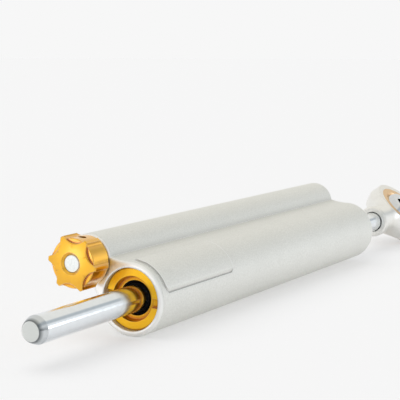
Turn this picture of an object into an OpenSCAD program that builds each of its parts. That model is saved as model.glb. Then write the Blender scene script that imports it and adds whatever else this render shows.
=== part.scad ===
// Twin-tube steering damper with a through rod, a screwed end cap, a needle-valve adjuster and a rod end.
// X runs along the main tube from the knob end to the rod end, Z is up, and the side tube leans to +Y.
// The origin lies on the main tube's axis, half way along the casing, where a frame clamp grips it.

/* [Casing] */
// Length of the casing
casing_l = 165; // [158:1:190]
// Outer diameter of the main tube
main_d = 22.5; // [21.8:0.1:24]
// Outer diameter of the side tube
side_d = 15.5; // [14.5:0.1:17]
// Distance between the two tube axes
tube_spacing = 18; // [17.6:0.1:18.6]
// Lean of the side tube above the horizontal, in degrees
tube_lean = 37; // [0:1:90]
// Radius of the hollow flanks between the tubes
web_r = 24; // [18:1:40]
// Angle from the tubes' plane at which a flank leaves the main tube, in degrees
web_turn = 53; // [50:0.5:56]
// Radius of the rounded rims at both ends
rim_r = 0.9; // [0.4:0.1:1.2]
// Diameter of the bore that the piston runs in
bore_d = 16; // [15:0.1:17]
// Length of the solid wall that closes the bore at the rear
rear_wall_l = 39; // [37:1:42]
// Diameter of the oil passage along the side tube
passage_d = 8; // [5:0.1:9]
// Diameter of the side tube's bore at the valve and at the reservoir
side_bore_d = 11; // [10.2:0.1:12]
// Diameter of the two ports between the tubes
port_d = 2.4; // [1.6:0.1:3]

/* [Badge panel] */
// Length of the raised bare panel
panel_l = 41.5; // [30:0.5:60]
// Width of the panel, measured straight across
panel_w = 14; // [10:0.5:15]
// Height of the panel above the tube
panel_h = 0.55; // [0.3:0.05:0.7]
// Distance from the front end to the panel
panel_x = 2.8; // [2:0.1:20]
// Radius of the panel's corners
panel_corner_r = 1.6; // [1:0.1:3]
// Width of the groove round the panel
panel_groove_w = 0.35; // [0.2:0.05:0.8]
// Depth of the groove round the panel
panel_groove_h = 0.3; // [0.2:0.05:0.6]

/* [End cap] */
// Diameter of the screwed flange
cap_d = 19; // [18:0.1:20]
// Depth of the cap's face below the casing's end
cap_recess = 1.3; // [0.6:0.1:1.8]
// Length of the screwed flange
cap_flange_l = 11.5; // [11:0.5:16]
// Length of the nose that enters the bore
cap_nose_l = 8; // [7:0.5:12]
// Diameter of the funnel's mouth
funnel_d = 13.7; // [13:0.1:15]
// Depth of the funnel
funnel_l = 1.9; // [1.4:0.1:2.6]
// Width of the flat lip at the bottom of the funnel
lip_w = 1; // [0.6:0.1:1.2]
// Width of the two pin-spanner slots
slot_w = 2.8; // [2:0.1:4]
// Depth of the slots
slot_depth = 1.4; // [0.8:0.1:2]
// Turn of the slots from the horizontal, in degrees
slot_turn = 5.5; // [-45:0.5:45]

/* [Rod and seals] */
// Diameter of the rod
rod_d = 8; // [7.4:0.1:8.4]
// Length of rod that stands out at the front
rod_front_l = 48.3; // [47:0.1:70]
// Length of rod that stands out at the rear, up to the rod end
rod_rear_l = 27.8; // [26:0.1:50]
// Length of the tapered tip
tip_l = 2.6; // [1:0.1:4]
// Diameter of the flat tip
tip_d = 6; // [5:0.1:7]
// Radius of the rounded taper behind the flat tip
taper_r = 9; // [5:0.5:20]
// Radial thickness of the rod seals and guide bushes
seal_w = 1.9; // [1.7:0.1:2.2]
// Length of a rod seal
seal_l = 3.4; // [2.5:0.1:3.8]
// Radial thickness of the wipers
wiper_w = 1.25; // [1:0.05:1.5]
// Length of a wiper
wiper_l = 1.6; // [1.2:0.1:2]
// Distance from the rear end to the circlip that holds the rear seals
rear_clip_inset = 3.6; // [2.5:0.1:4.5]

/* [Piston] */
// Length of the piston
piston_l = 8; // [7:0.5:12]
// Travel of the rod towards the rear
stroke_rear = 44; // [40:1:44]
// Length of the piston band
band_l = 4; // [3:0.1:5]
// Radial thickness of the piston band
band_w = 0.9; // [0.6:0.05:1.1]
// Thickness of a piston circlip
clip_t = 0.8; // [0.6:0.1:1.2]

/* [Knob] */
// Diameter over the six fins
knob_d = 17; // [16:0.1:19]
// Diameter of the round body between the fins
knob_body_d = 15; // [14:0.1:15.6]
// Length of the knob
knob_l = 9.2; // [8:0.1:12]
// Gap between the knob and the casing
knob_gap = 0.5; // [0.3:0.1:1]
// Radius of the hollow flanks of a fin
fin_hollow_r = 1.1; // [0.8:0.1:1.4]
// Angle between a fin's middle and the foot of its flank, in degrees
fin_spread = 11.5; // [11:0.1:14]
// Length of the slope at the back of a fin
fin_slope_l = 1.7; // [1:0.1:3]
// Radius of the scallops that step the face back between the fins
scallop_r = 5.1; // [4.6:0.1:5.6]
// Distance from the knob's axis to a scallop
scallop_floor = 6.1; // [5.8:0.1:6.5]
// Depth of the scallops, measured from the middle of the face
scallop_l = 1.2; // [0.9:0.1:1.6]
// Radius of the domed face
face_r = 57; // [45:1:90]
// Diameter of the grub screw
grub_d = 2.5; // [2:0.1:3]

/* [Adjuster] */
// Diameter of the spindle
spindle_d = 5.3; // [5:0.1:5.6]
// Length of the oil space between the housing and the valve seat
cavity_l = 4; // [3:0.1:5]
// Length of the valve seat
seat_l = 4; // [3.5:0.1:5]
// Diameter of the orifice in the seat
orifice_d = 2.4; // [2.3:0.1:3]
// Diameter of the spindle's threaded end
screw_d = 2.8; // [2.4:0.1:3]
// Length of the threaded end inside the needle
screw_reach = 4; // [3:0.1:4.2]
// Distance from the housing's face to the spindle's ring
spindle_ring_inset = 4; // [2:0.1:6]
// Distance from the housing's face to the spindle's collar
collar_inset = 8.6; // [8:0.1:9]
// Length of the needle's thick end
needle_body_l = 6; // [5.8:0.1:6.5]

/* [Reservoir] */
// Length of the floating piston
float_l = 6; // [5:0.5:8]
// Room in front of the floating piston
float_room = 2.5; // [2.2:0.1:4]
// Length of the rear plug
plug_l = 12; // [10:0.5:13]
// Depth of the plug below the casing's end
plug_recess = 0.8; // [0.3:0.1:1]
// Distance from the plug's inner face to its ring
plug_ring_inset = 5; // [2:0.1:6]
// Diameter of the spring wire
wire_d = 1.1; // [0.8:0.1:1.2]
// Number of coils in the spring
coils = 5; // [4:1:6]

/* [Rod end] */
// Diameter of the eye's round outside
eye_d = 30; // [28.6:0.1:32]
// Width of the eye
eye_w = 9; // [8.5:0.1:10]
// Distance from the mouth of the shank to the eye's centre
shank_l = 30; // [29:0.5:40]
// Diameter of the shank at its mouth
shank_d = 12.8; // [11.5:0.1:14]
// Radius of the hollow flare between the shank and the eye
flare_r = 12; // [8:0.5:16]
// Length of rod screwed into the shank
thread_l = 13; // [10:0.5:14]
// Turn of the eye's axis about the rod, in degrees from +Y
eye_turn = 131; // [0:1:180]
// Diameter of the ball
ball_d = 18; // [16.5:0.1:18.5]
// Width of the ball over its flat faces
ball_w = 12; // [10:0.1:13]
// Diameter of the bolt bore
bolt_d = 8; // [6:0.1:9]
// Radial thickness of the race at its middle
race_w = 2.4; // [2:0.1:2.6]

/* [Clearances] */
// Radial clearance of pieces that run on each other
run_gap = 0.03; // [0.02:0.01:0.06]
// Radial clearance of pieces that sit in each other
sit_gap = 0.05; // [0.03:0.01:0.08]
// Radial clearance of plain holes round the rod
hole_gap = 0.3; // [0.2:0.05:0.5]
// Clearance between faces that meet end to end
end_gap = 0.1; // [0.05:0.05:0.2]

/* [Hidden] */
$fn = 72;

silver = [0.80, 0.80, 0.78];
gold = [0.93, 0.70, 0.18];
bronze = [0.72, 0.50, 0.28];
steel = [0.72, 0.73, 0.75];
black = [0.08, 0.08, 0.09];

// Overlap that keeps a cut clear of the face it starts from
cut = 1;
// Overlap that lets two curves that run into each other cross at a small angle
blend = 0.02;
// Number of flat steps in a rounded rim
rim_steps = 3;

// Radii of the main pieces
main_r = main_d / 2;
side_r = side_d / 2;
bore_r = bore_d / 2;
side_bore_r = side_bore_d / 2;
rod_r = rod_d / 2;
knob_r = knob_d / 2;
knob_body_r = knob_body_d / 2;
spindle_r = spindle_d / 2;
ball_r = ball_d / 2;
seal_r = rod_r + run_gap + seal_w;
seal_seat_r = seal_r + sit_gap;
wiper_r = rod_r + run_gap + wiper_w;
wiper_seat_r = wiper_r + sit_gap;
rod_hole_r = rod_r + hole_gap;
insert_r = side_bore_r - sit_gap;

// Place of the side tube, and of the hollow flanks' axes as seen along the tubes
side_y = tube_spacing * cos(tube_lean);
side_z = tube_spacing * sin(tube_lean);
web_x = (main_r + web_r) * cos(web_turn);
web_y = (main_r + web_r) * sin(web_turn);

// Stations along X, from the front end of the casing to the rear
front_x = -casing_l / 2;
rear_x = casing_l / 2;
cap_x = front_x + cap_recess;
cap_step_x = cap_x + cap_flange_l;
chamber_front_x = cap_step_x + cap_nose_l;
chamber_rear_x = rear_x - rear_wall_l;
stop_gap = 0.5;
piston_x = chamber_rear_x - stop_gap - clip_t - end_gap - stroke_rear - piston_l;
rod_tip_x = front_x - rod_front_l;
mouth_x = rear_x + rod_rear_l;
eye_x = mouth_x + shank_l;

// Seal and bush places in the cap
lip_x = cap_x + funnel_l;
front_wiper_x = lip_x + 0.5;
front_seal_seat_x = front_wiper_x + wiper_l + 0.8;
front_bush_x = front_seal_seat_x + seal_l + 2 * end_gap;
front_bush_l = chamber_front_x - front_bush_x - 0.6;

// Seal, wiper and circlip places in the rear wall
rear_clip_t = 1;
rear_clip_x = rear_x - rear_clip_inset;
rear_wiper_l = 2.4;
rear_wiper_x = rear_clip_x - end_gap - rear_wiper_l;
rear_seal_x = rear_wiper_x - end_gap - seal_l;
rear_seal_seat_x = rear_seal_x - end_gap;
rear_bush_l = 14;
rear_clip_seat_r = seal_seat_r + 0.7;

// O-ring sections and the grooves that hold them
ring_d = 1.2;
ring_groove_l = 1.6;
small_ring_d = 0.66;
small_groove_l = 0.9;

// Piston band and its ring
band_r = bore_r - run_gap;
band_in_r = band_r - band_w;
piston_groove_r = band_in_r - ring_d - 2 * sit_gap;
piston_r = bore_r - 0.1;
clip_groove_r = rod_r - 0.6;
clip_r = rod_r + 1.3;

// Valve stations in the side tube
housing_recess = 0.3;
housing_x = front_x + housing_recess;
housing_end_x = chamber_front_x;
seat_x = housing_end_x + cavity_l;
seat_end_x = seat_x + seat_l;
front_port_x = housing_end_x + cavity_l / 2;
rear_port_x = chamber_rear_x - port_d / 2 - 0.4;
collar_x = housing_x + collar_inset;
collar_l = 1.4;
collar_r = spindle_r + 0.75;
guide_x = collar_x + collar_l + end_gap;
guide_r = collar_r + 0.05;
guide_end_x = housing_end_x - 0.5;
needle_x = guide_x + 1.9;
needle_r = screw_d / 2 + 0.8;
needle_flat = screw_d / 2 + 0.4;
needle_tip_r = orifice_d / 2 - 0.15;
needle_end_wall = 0.8;
screw_end_x = needle_x + screw_reach;
spindle_groove_x = housing_x + spindle_ring_inset;
housing_grooves = [6, 14];

// Reservoir stations in the side tube
float_x = chamber_rear_x + float_room;
plug_x = rear_x - plug_recess - plug_l;
spring_x = float_x + float_l;
spring_l = plug_x - spring_x;
spring_mid_r = side_bore_r - 1.6;
plug_groove_x = plug_x + plug_ring_inset;

// Knob stations
knob_front_x = front_x - knob_gap - knob_l;
knob_turn = tube_lean + 30;
grub_x = knob_front_x + knob_l * 0.54;
grub_turn = tube_lean + 60;

// Placing: along the main tube, along the side tube, in the plane of the tubes, and on the rod end's eye
module on_main(x) { translate([x, 0, 0]) rotate([0, 90, 0]) children(); }
module on_side(x) { translate([x, side_y, side_z]) rotate([0, 90, 0]) children(); }
module facing(turn) { rotate([0, 0, 90 + turn]) children(); }
module on_eye() { translate([eye_x, 0, 0]) rotate([eye_turn - 90, 0, 0]) children(); }

// A plain ring, a ring of round section, and a piece turned from a profile of [radius, length] points
module ring(r_in, r_out, l) { rotate_extrude() translate([r_in, 0]) square([r_out - r_in, l]); }
module o_ring(r_mid, section) { rotate_extrude() translate([r_mid, 0]) circle(d = section, $fn = 32); }
module turned(points) { rotate_extrude() polygon(points); }

// A ring in the groove of a fixed piece, just clear of the bore round it
module bore_o_ring(r_bore) { o_ring(r_bore - ring_d / 2 - sit_gap / 2, ring_d - sit_gap); }

// One slice of the casing, drawn in by one amount at each end: both tubes and the web between them,
// whose flanks run smoothly off the main tube and meet the side tube in a crease
module casing_slice(l, in_a, in_b) {
    to_web = [web_x - tube_spacing, web_y];
    on_main_tube = [web_x, web_y] * main_r / norm([web_x, web_y]);
    on_side_tube = [tube_spacing, 0] + to_web * side_r / norm(to_web);
    cylinder(h = l, r1 = main_r - in_a, r2 = main_r - in_b);
    translate([tube_spacing, 0, 0]) cylinder(h = l, r1 = side_r - in_a, r2 = side_r - in_b);
    difference() {
        linear_extrude(l) polygon([[0, 0], on_main_tube, on_side_tube, [tube_spacing, 0],
                                   [on_side_tube.x, -on_side_tube.y], [on_main_tube.x, -on_main_tube.y]]);
        for (side = [-1, 1])
            translate([web_x, side * web_y, 0])
                cylinder(h = l, r1 = web_r + in_a + blend, r2 = web_r + in_b + blend);
    }
}

// The rounded rim at an end of the casing, as short tapered slices
module casing_rim() {
    for (step = [0 : rim_steps - 1]) {
        a = 90 * step / rim_steps;
        b = 90 * (step + 1) / rim_steps;
        depth_a = rim_r * (1 - cos(a));
        depth_b = rim_r * (1 - cos(b));
        translate([0, 0, depth_a])
            casing_slice(depth_b - depth_a, rim_r * (1 - sin(a)), rim_r * (1 - sin(b)));
    }
}

module casing_outside() {
    on_main(front_x) facing(tube_lean) {
        casing_rim();
        translate([0, 0, rim_r]) casing_slice(casing_l - 2 * rim_r, 0, 0);
        translate([0, 0, casing_l]) mirror([0, 0, 1]) casing_rim();
    }
}

// The panel's rounded outline, grown by a margin all round
module panel_outline(margin) {
    w = panel_w + 2 * margin;
    l = panel_l + 2 * margin;
    corner_r = panel_corner_r + margin;
    square([w - 2 * corner_r, l], center = true);
    square([w, l - 2 * corner_r], center = true);
    for (a = [-1, 1], b = [-1, 1])
        translate([a * (w / 2 - corner_r), b * (l / 2 - corner_r)]) circle(corner_r);
}

// A sleeve on the main tube, cut by the panel's outline, which looks square onto the tubes' plane
module panel_sleeve(in_r, out_r, margin) {
    on_main(front_x + panel_x + panel_l / 2) facing(tube_lean)
        intersection() {
            translate([0, 0, -panel_l]) ring(in_r, out_r, 2 * panel_l);
            rotate([-90, 0, 0]) linear_extrude(main_r + cut) panel_outline(margin);
        }
}

// What the bevels along the panel's two long edges take away
module panel_bevels() {
    depth = 0.3;
    size = 2;
    edge_turn = asin(panel_w / 2 / (main_r + panel_h));
    edge_y = (main_r + panel_h) * cos(edge_turn);
    on_main(front_x + panel_x + panel_l / 2) facing(tube_lean)
        for (side = [-1, 1])
            translate([side * panel_w / 2, edge_y, 0]) rotate([0, 0, 90 - side * (90 + edge_turn) / 2])
                translate([-depth, -size, -panel_l]) cube([size, 2 * size, 2 * panel_l]);
}

// The raised panel and the groove that runs round its foot
module badge_panel() {
    difference() {
        children();
        panel_sleeve(main_r - panel_groove_h, main_r + cut, panel_groove_w);
    }
    difference() {
        panel_sleeve(main_r - 2 * panel_groove_h, main_r + panel_h, 0);
        panel_bevels();
    }
}

module main_bores() {
    on_main(front_x - cut) cylinder(h = cap_step_x - front_x + cut, d = cap_d);
    on_main(cap_step_x - cut) cylinder(h = chamber_rear_x - cap_step_x + cut, d = bore_d);
    on_main(chamber_rear_x - cut) cylinder(h = rear_bush_l + cut, r = seal_seat_r);
    on_main(chamber_rear_x) cylinder(h = rear_wall_l + cut, r = rod_hole_r);
    on_main(rear_seal_seat_x) cylinder(h = rear_x - rear_seal_seat_x + cut, r = seal_seat_r);
    on_main(rear_clip_x - end_gap) cylinder(h = rear_clip_t + 2 * end_gap, r = rear_clip_seat_r);
}

module side_bores() {
    on_side(front_x - cut) cylinder(h = seat_end_x - front_x + cut, d = side_bore_d);
    on_side(seat_end_x - cut) cylinder(h = chamber_rear_x - seat_end_x + 2 * cut, d = passage_d);
    on_side(chamber_rear_x) cylinder(h = rear_wall_l + cut, d = side_bore_d);
}

// The ports run straight from the main bore to the side tube
module ports() {
    for (x = [front_port_x, rear_port_x])
        on_main(x) facing(tube_lean) translate([bore_r - cut, 0, 0]) rotate([0, 90, 0])
            cylinder(h = tube_spacing - bore_r, d = port_d);
}

module body_casing() {
    color(silver) difference() {
        badge_panel() casing_outside();
        main_bores();
        side_bores();
        ports();
    }
}

module front_end_cap() {
    flange_r = cap_d / 2 - sit_gap;
    nose_r = bore_r - sit_gap;
    groove_r = nose_r - ring_d;
    groove_z = cap_flange_l + cap_nose_l / 2;
    bevel = 0.45;
    lip_z = lip_x - cap_x;
    wiper_end_z = front_wiper_x + wiper_l + end_gap - cap_x;
    seal_z = front_seal_seat_x - cap_x;
    end_z = chamber_front_x - cap_x;
    color(gold) difference() {
        on_main(cap_x) turned([[funnel_d / 2, 0], [flange_r - bevel, 0], [flange_r, bevel],
            [flange_r, cap_flange_l], [nose_r, cap_flange_l], [nose_r, groove_z - ring_groove_l / 2],
            [groove_r, groove_z - ring_groove_l / 2], [groove_r, groove_z + ring_groove_l / 2],
            [nose_r, groove_z + ring_groove_l / 2], [nose_r, end_z], [seal_seat_r, end_z],
            [seal_seat_r, seal_z], [rod_hole_r, seal_z], [rod_hole_r, wiper_end_z],
            [wiper_seat_r, wiper_end_z], [wiper_seat_r, lip_z], [wiper_seat_r + lip_w, lip_z]]);
        on_main(cap_x) facing(slot_turn)
            for (turn = [0, 180])
                rotate([0, 0, turn]) translate([wiper_seat_r + lip_w, -slot_w / 2, -cut])
                    cube([cap_d, slot_w, slot_depth + cut]);
    }
}

module cap_o_ring() {
    color(black) on_main(cap_step_x + cap_nose_l / 2) bore_o_ring(bore_r);
}

module front_guide_bush() {
    color(bronze) on_main(front_bush_x) ring(rod_r + run_gap, seal_r, front_bush_l);
}

module rear_guide_bush() {
    color(bronze) on_main(chamber_rear_x + end_gap)
        ring(rod_r + run_gap, seal_r, rear_bush_l - 2 * end_gap);
}

// A lip seal: a ring whose pressure side is opened by a groove
module rod_seal() {
    lip = seal_w * 0.3;
    in_r = rod_r + run_gap;
    turned([[in_r, 0], [seal_r, 0], [seal_r, seal_l], [seal_r - lip, seal_l],
            [in_r + seal_w / 2, seal_l / 2], [in_r + lip, seal_l], [in_r, seal_l]]);
}

module front_rod_seal() { color(black) on_main(front_seal_seat_x + end_gap) rod_seal(); }

module rear_rod_seal() { color(black) on_main(rear_seal_x + seal_l) mirror([0, 0, 1]) rod_seal(); }

// A wiper: a thin lip that leans outwards along the rod, on a ring in its seat
module wiper(l, outer_r) {
    in_r = rod_r + run_gap;
    lip = 0.35;
    step = l * 0.45;
    turned([[in_r, 0], [in_r + lip, 0], [in_r + 2 * lip, step], [outer_r, step], [outer_r, l], [in_r, l]]);
}

module front_wiper() { color(black) on_main(front_wiper_x) wiper(wiper_l, wiper_r); }

module rear_wiper() {
    color(black) on_main(rear_wiper_x + rear_wiper_l) mirror([0, 0, 1]) wiper(rear_wiper_l, seal_r);
}

module rear_circlip() {
    opening = 4;
    color(steel) on_main(rear_clip_x) difference() {
        ring(seal_r - 1, rear_clip_seat_r - sit_gap, rear_clip_t);
        translate([0, -opening / 2, -cut]) cube([cap_d, opening, rear_clip_t + 2 * cut]);
    }
}

module piston() {
    side = (piston_l - band_l) / 2 - sit_gap;
    bevel = 0.4;
    in_r = rod_r + sit_gap;
    color(silver) on_main(piston_x)
        turned([[in_r, 0], [piston_r - bevel, 0], [piston_r, bevel], [piston_r, side],
            [piston_groove_r, side], [piston_groove_r, piston_l - side], [piston_r, piston_l - side],
            [piston_r, piston_l - bevel], [piston_r - bevel, piston_l], [in_r, piston_l]]);
}

module piston_band() {
    color(bronze) on_main(piston_x + (piston_l - band_l) / 2) ring(band_in_r, band_r, band_l);
}

module piston_o_ring() {
    color(black) on_main(piston_x + piston_l / 2) o_ring(band_in_r - sit_gap - ring_d / 2, ring_d);
}

module piston_rod() {
    rear_l = mouth_x + thread_l - rod_tip_x;
    front_clip = piston_x - end_gap - clip_t - rod_tip_x;
    rear_clip = piston_x + piston_l + end_gap - rod_tip_x;
    slack = end_gap / 2;
    bevel = 0.8;
    edge = 0.25;
    taper_start = [tip_d / 2, edge];
    taper_end = [rod_r, tip_l];
    chord = taper_end - taper_start;
    taper_mid = (taper_start + taper_end) / 2;
    inward = [-chord.y, chord.x] / norm(chord);
    taper_axis = taper_mid + inward * sqrt(pow(taper_r, 2) - pow(norm(chord) / 2, 2));
    color(steel) on_main(rod_tip_x) rotate_extrude() difference() {
        polygon([[0, 0], [tip_d / 2 - edge, 0], taper_start, [rod_r, edge],
            [rod_r, front_clip - slack], [clip_groove_r, front_clip - slack],
            [clip_groove_r, front_clip + clip_t + slack], [rod_r, front_clip + clip_t + slack],
            [rod_r, rear_clip - slack], [clip_groove_r, rear_clip - slack],
            [clip_groove_r, rear_clip + clip_t + slack], [rod_r, rear_clip + clip_t + slack],
            [rod_r, rear_l - bevel], [rod_r - bevel, rear_l], [0, rear_l]]);
        difference() {
            polygon([taper_start, [rod_r + cut, edge - cut], [rod_r + cut, tip_l + cut],
                [rod_r - edge, tip_l + cut]]);
            translate(taper_axis) circle(taper_r, $fn = 360);
        }
    }
}

module piston_circlips() {
    opening = rod_r;
    color(steel)
        for (x = [piston_x - end_gap - clip_t, piston_x + piston_l + end_gap])
            on_main(x) difference() {
                ring(clip_groove_r + sit_gap, clip_r, clip_t);
                translate([0, -opening / 2, -cut]) cube([clip_r + cut, opening, clip_t + 2 * cut]);
            }
}

// The shank: a bevelled collar at the mouth, a neck, and a hollow flare that runs into the round eye
module shank() {
    shank_r = shank_d / 2;
    bevel = 0.6;
    collar = 3;
    neck_r = shank_r - 0.4;
    eye_r = eye_d / 2;
    flare_x = neck_r + flare_r;
    flare_z = shank_l - sqrt(pow(eye_r + flare_r, 2) - pow(flare_x, 2));
    touch = [0, shank_l] + [flare_x, flare_z - shank_l] * eye_r / (eye_r + flare_r);
    rotate_extrude() difference() {
        polygon([[0, 0], [shank_r - bevel, 0], [shank_r, bevel], [shank_r, collar], [neck_r, collar + bevel],
            [neck_r, flare_z], touch, [0, touch.y]]);
        translate([flare_x, flare_z]) circle(flare_r + blend);
    }
}

// Two sloped cheeks narrow the flare to the eye's width
module cheeks() {
    shank_r = shank_d / 2;
    slope_z = shank_l * 0.3;
    end_z = shank_l - ball_r - race_w;
    flat = eye_w / 2;
    translate([0, shank_d, 0]) rotate([90, 0, 0]) linear_extrude(2 * shank_d)
        polygon([[-shank_r - cut, -cut], [shank_r + cut, -cut], [shank_r + cut, slope_z], [flat, end_z],
            [flat, shank_l], [-flat, shank_l], [-flat, end_z], [-shank_r - cut, slope_z]]);
}

// The eye is a slice of a ball with bevelled edges, bored for the race
module rod_end_housing() {
    eye_r = eye_d / 2;
    face_r = sqrt(pow(eye_r, 2) - pow(eye_w / 2, 2));
    bore = ball_r + race_w + sit_gap;
    bevel = 0.4;
    mouth = 0.3;
    color(silver) difference() {
        union() {
            on_main(mouth_x) intersection() {
                shank();
                facing(eye_turn) cheeks();
            }
            on_eye() intersection() {
                sphere(eye_r);
                translate([0, 0, -eye_w / 2]) turned([[0, 0], [face_r - bevel, 0], [eye_r, eye_w / 2 - bevel],
                    [eye_r, eye_w / 2 + bevel], [face_r - bevel, eye_w], [0, eye_w]]);
            }
        }
        on_eye() translate([0, 0, -eye_w]) cylinder(h = 2 * eye_w, r = bore);
        on_main(mouth_x) turned([[0, -cut], [rod_r + mouth, -cut], [rod_r + mouth, mouth],
            [rod_r + sit_gap, 2 * mouth], [rod_r + sit_gap, thread_l + cut], [0, thread_l + cut]]);
    }
}

// The race grips the ball. Its inner edges are opened by a bevel on both sides.
module rod_end_race() {
    bevel = 0.9;
    ball_face_r = sqrt(pow(ball_r, 2) - pow(eye_w / 2 - bevel, 2));
    color(bronze) on_eye() difference() {
        translate([0, 0, -eye_w / 2]) cylinder(h = eye_w, r = ball_r + race_w);
        sphere(ball_r + run_gap);
        for (side = [0, 1])
            mirror([0, 0, side]) translate([0, 0, eye_w / 2 - bevel])
                cylinder(h = bevel + cut, r1 = ball_face_r, r2 = ball_face_r + bevel + cut);
    }
}

module rod_end_ball() {
    bevel = 0.4;
    color(steel) on_eye() difference() {
        intersection() {
            sphere(ball_r);
            translate([0, 0, -ball_w / 2]) cylinder(h = ball_w, r = ball_d);
        }
        translate([0, 0, -ball_w]) cylinder(h = 2 * ball_w, d = bolt_d);
        for (side = [0, 1])
            mirror([0, 0, side]) translate([0, 0, ball_w / 2 - bevel])
                cylinder(h = bevel + cut, r1 = bolt_d / 2, r2 = bolt_d / 2 + bevel + cut);
    }
}

// Six fins with hollow flanks, seen along the knob's axis
module fin_outline() {
    hollow = (knob_body_r + fin_hollow_r) * [cos(fin_spread), sin(fin_spread)];
    half_w = hollow.y - fin_hollow_r;
    for (turn = [0 : 60 : 300])
        rotate(turn) difference() {
            polygon([[0, 0], [hollow.x, -hollow.y], [hollow.x, -half_w], [knob_d, -half_w],
                [knob_d, half_w], [hollow.x, half_w], [hollow.x, hollow.y]]);
            for (side = [-1, 1])
                translate([hollow.x, side * hollow.y]) circle(fin_hollow_r + blend);
        }
}

// The shape that trims body and fins: a domed face with a sunk middle, bevelled tips and a sloped back
module knob_trim() {
    hole_r = spindle_r + sit_gap;
    edge = 0.3;
    mouth = 0.8;
    edge_z = face_r - sqrt(pow(face_r, 2) - pow(knob_r - edge, 2)) + edge;
    rotate_extrude() intersection() {
        polygon([[hole_r, mouth], [hole_r + mouth, 0], [knob_r - edge_z, 0], [knob_r, edge_z],
            [knob_r, knob_l - fin_slope_l], [knob_body_r - edge, knob_l], [hole_r, knob_l]]);
        translate([0, face_r]) circle(face_r, $fn = 360);
    }
}

// A scallop steps the face back to a ledge. Its rim and the ledge's outer edge are bevelled.
module scallop() {
    rim_z = 0.6;
    edge = 0.25;
    inset = 0.6;
    translate([scallop_floor + scallop_r, 0, -cut]) {
        cylinder(h = scallop_l + cut, r = scallop_r);
        cylinder(h = rim_z + cut, r1 = scallop_r + rim_z + cut, r2 = scallop_r);
    }
    intersection() {
        translate([scallop_floor + scallop_r, 0, 0]) cylinder(h = knob_l, r = scallop_r - inset);
        turned([[knob_body_r - 2 * edge, scallop_l - edge], [knob_body_r + edge, scallop_l - edge],
            [knob_body_r + edge, scallop_l + 2 * edge]]);
    }
}

module adjuster_knob() {
    color(gold) difference() {
        on_side(knob_front_x) facing(knob_turn) difference() {
            intersection() {
                union() {
                    cylinder(h = knob_l + cut, r = knob_body_r);
                    linear_extrude(knob_l + cut) fin_outline();
                }
                knob_trim();
            }
            for (turn = [30 : 60 : 330])
                rotate([0, 0, turn]) scallop();
        }
        on_side(grub_x) facing(grub_turn) rotate([0, 90, 0]) cylinder(h = knob_d, d = grub_d);
    }
}

module knob_grub_screw() {
    socket_r = grub_d * 0.28;
    sunk = 0.7;
    length = knob_body_r - sunk - spindle_r - sit_gap;
    color(steel) on_side(grub_x) facing(grub_turn) translate([spindle_r + sit_gap, 0, 0]) rotate([0, 90, 0])
        difference() {
            cylinder(h = length, r = grub_d / 2 - sit_gap);
            translate([0, 0, length - socket_r * 2]) cylinder(h = grub_d, r = socket_r, $fn = 6);
        }
}

// The spindle: knob end, ring groove, collar that stops it coming out, and the threaded end
module adjuster_spindle() {
    start_x = knob_front_x + 0.7;
    groove = spindle_groove_x - start_x;
    groove_r = spindle_r - small_ring_d;
    collar = collar_x - start_x;
    collar_end = collar + collar_l;
    bevel = 0.2;
    color(steel) on_side(start_x)
        turned([[0, 0], [spindle_r - bevel, 0], [spindle_r, bevel], [spindle_r, groove],
            [groove_r, groove], [groove_r, groove + small_groove_l], [spindle_r, groove + small_groove_l],
            [spindle_r, collar + end_gap], [collar_r, collar + end_gap], [collar_r, collar_end],
            [screw_d / 2, collar_end], [screw_d / 2, screw_end_x - start_x], [0, screw_end_x - start_x]]);
}

module spindle_o_ring() {
    color(black) on_side(spindle_groove_x + small_groove_l / 2)
        o_ring(spindle_r - small_ring_d / 2, small_ring_d - sit_gap);
}

module adjuster_housing() {
    length = housing_end_x - housing_x;
    groove_r = insert_r - ring_d;
    pocket_r = guide_r + sit_gap;
    color(gold) on_side(housing_x) difference() {
        turned([[spindle_r + sit_gap, 0], [insert_r, 0], [insert_r, length], [pocket_r, length],
            [pocket_r, collar_x - housing_x], [spindle_r + sit_gap, collar_x - housing_x]]);
        for (z = housing_grooves)
            translate([0, 0, z]) ring(groove_r, insert_r + cut, ring_groove_l);
    }
}

module housing_o_rings() {
    color(black)
        for (z = housing_grooves)
            on_side(housing_x + z + ring_groove_l / 2) bore_o_ring(side_bore_r);
}

// A round bar with two flats, which the guide's bore matches so that the needle cannot turn
module flat_bar(r, flat, l) {
    intersection() {
        cylinder(h = l, r = r);
        translate([-flat, -r, 0]) cube([2 * flat, 2 * r, l]);
    }
}

module needle_guide() {
    length = guide_end_x - guide_x;
    color(silver) on_side(guide_x) difference() {
        cylinder(h = length, r = guide_r);
        translate([0, 0, -cut])
            flat_bar(needle_r + 2 * sit_gap, needle_flat + 2 * sit_gap, length + 2 * cut);
    }
}

module metering_needle() {
    tip_start_x = needle_x + needle_body_l;
    cone_x = seat_x + 0.4;
    point_r = 0.4;
    tip = cone_x - tip_start_x;
    color(steel) {
        difference() {
            union() {
                on_side(needle_x) flat_bar(needle_r, needle_flat, needle_body_l);
                on_side(tip_start_x - cut) turned([[0, 0], [needle_tip_r, 0], [needle_tip_r, tip + cut],
                    [point_r, tip + cut + seat_l / 2], [0, tip + cut + seat_l / 2]]);
            }
            on_side(needle_x - cut)
                cylinder(h = needle_body_l - needle_end_wall + cut, r = screw_d / 2 + sit_gap);
        }
    }
}

module valve_seat() {
    mouth = 1;
    color(bronze) on_side(seat_x + end_gap) turned([[orifice_d / 2 + mouth, 0], [insert_r, 0],
        [insert_r, seat_l - end_gap], [orifice_d / 2, seat_l - end_gap], [orifice_d / 2, mouth]]);
}

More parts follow.
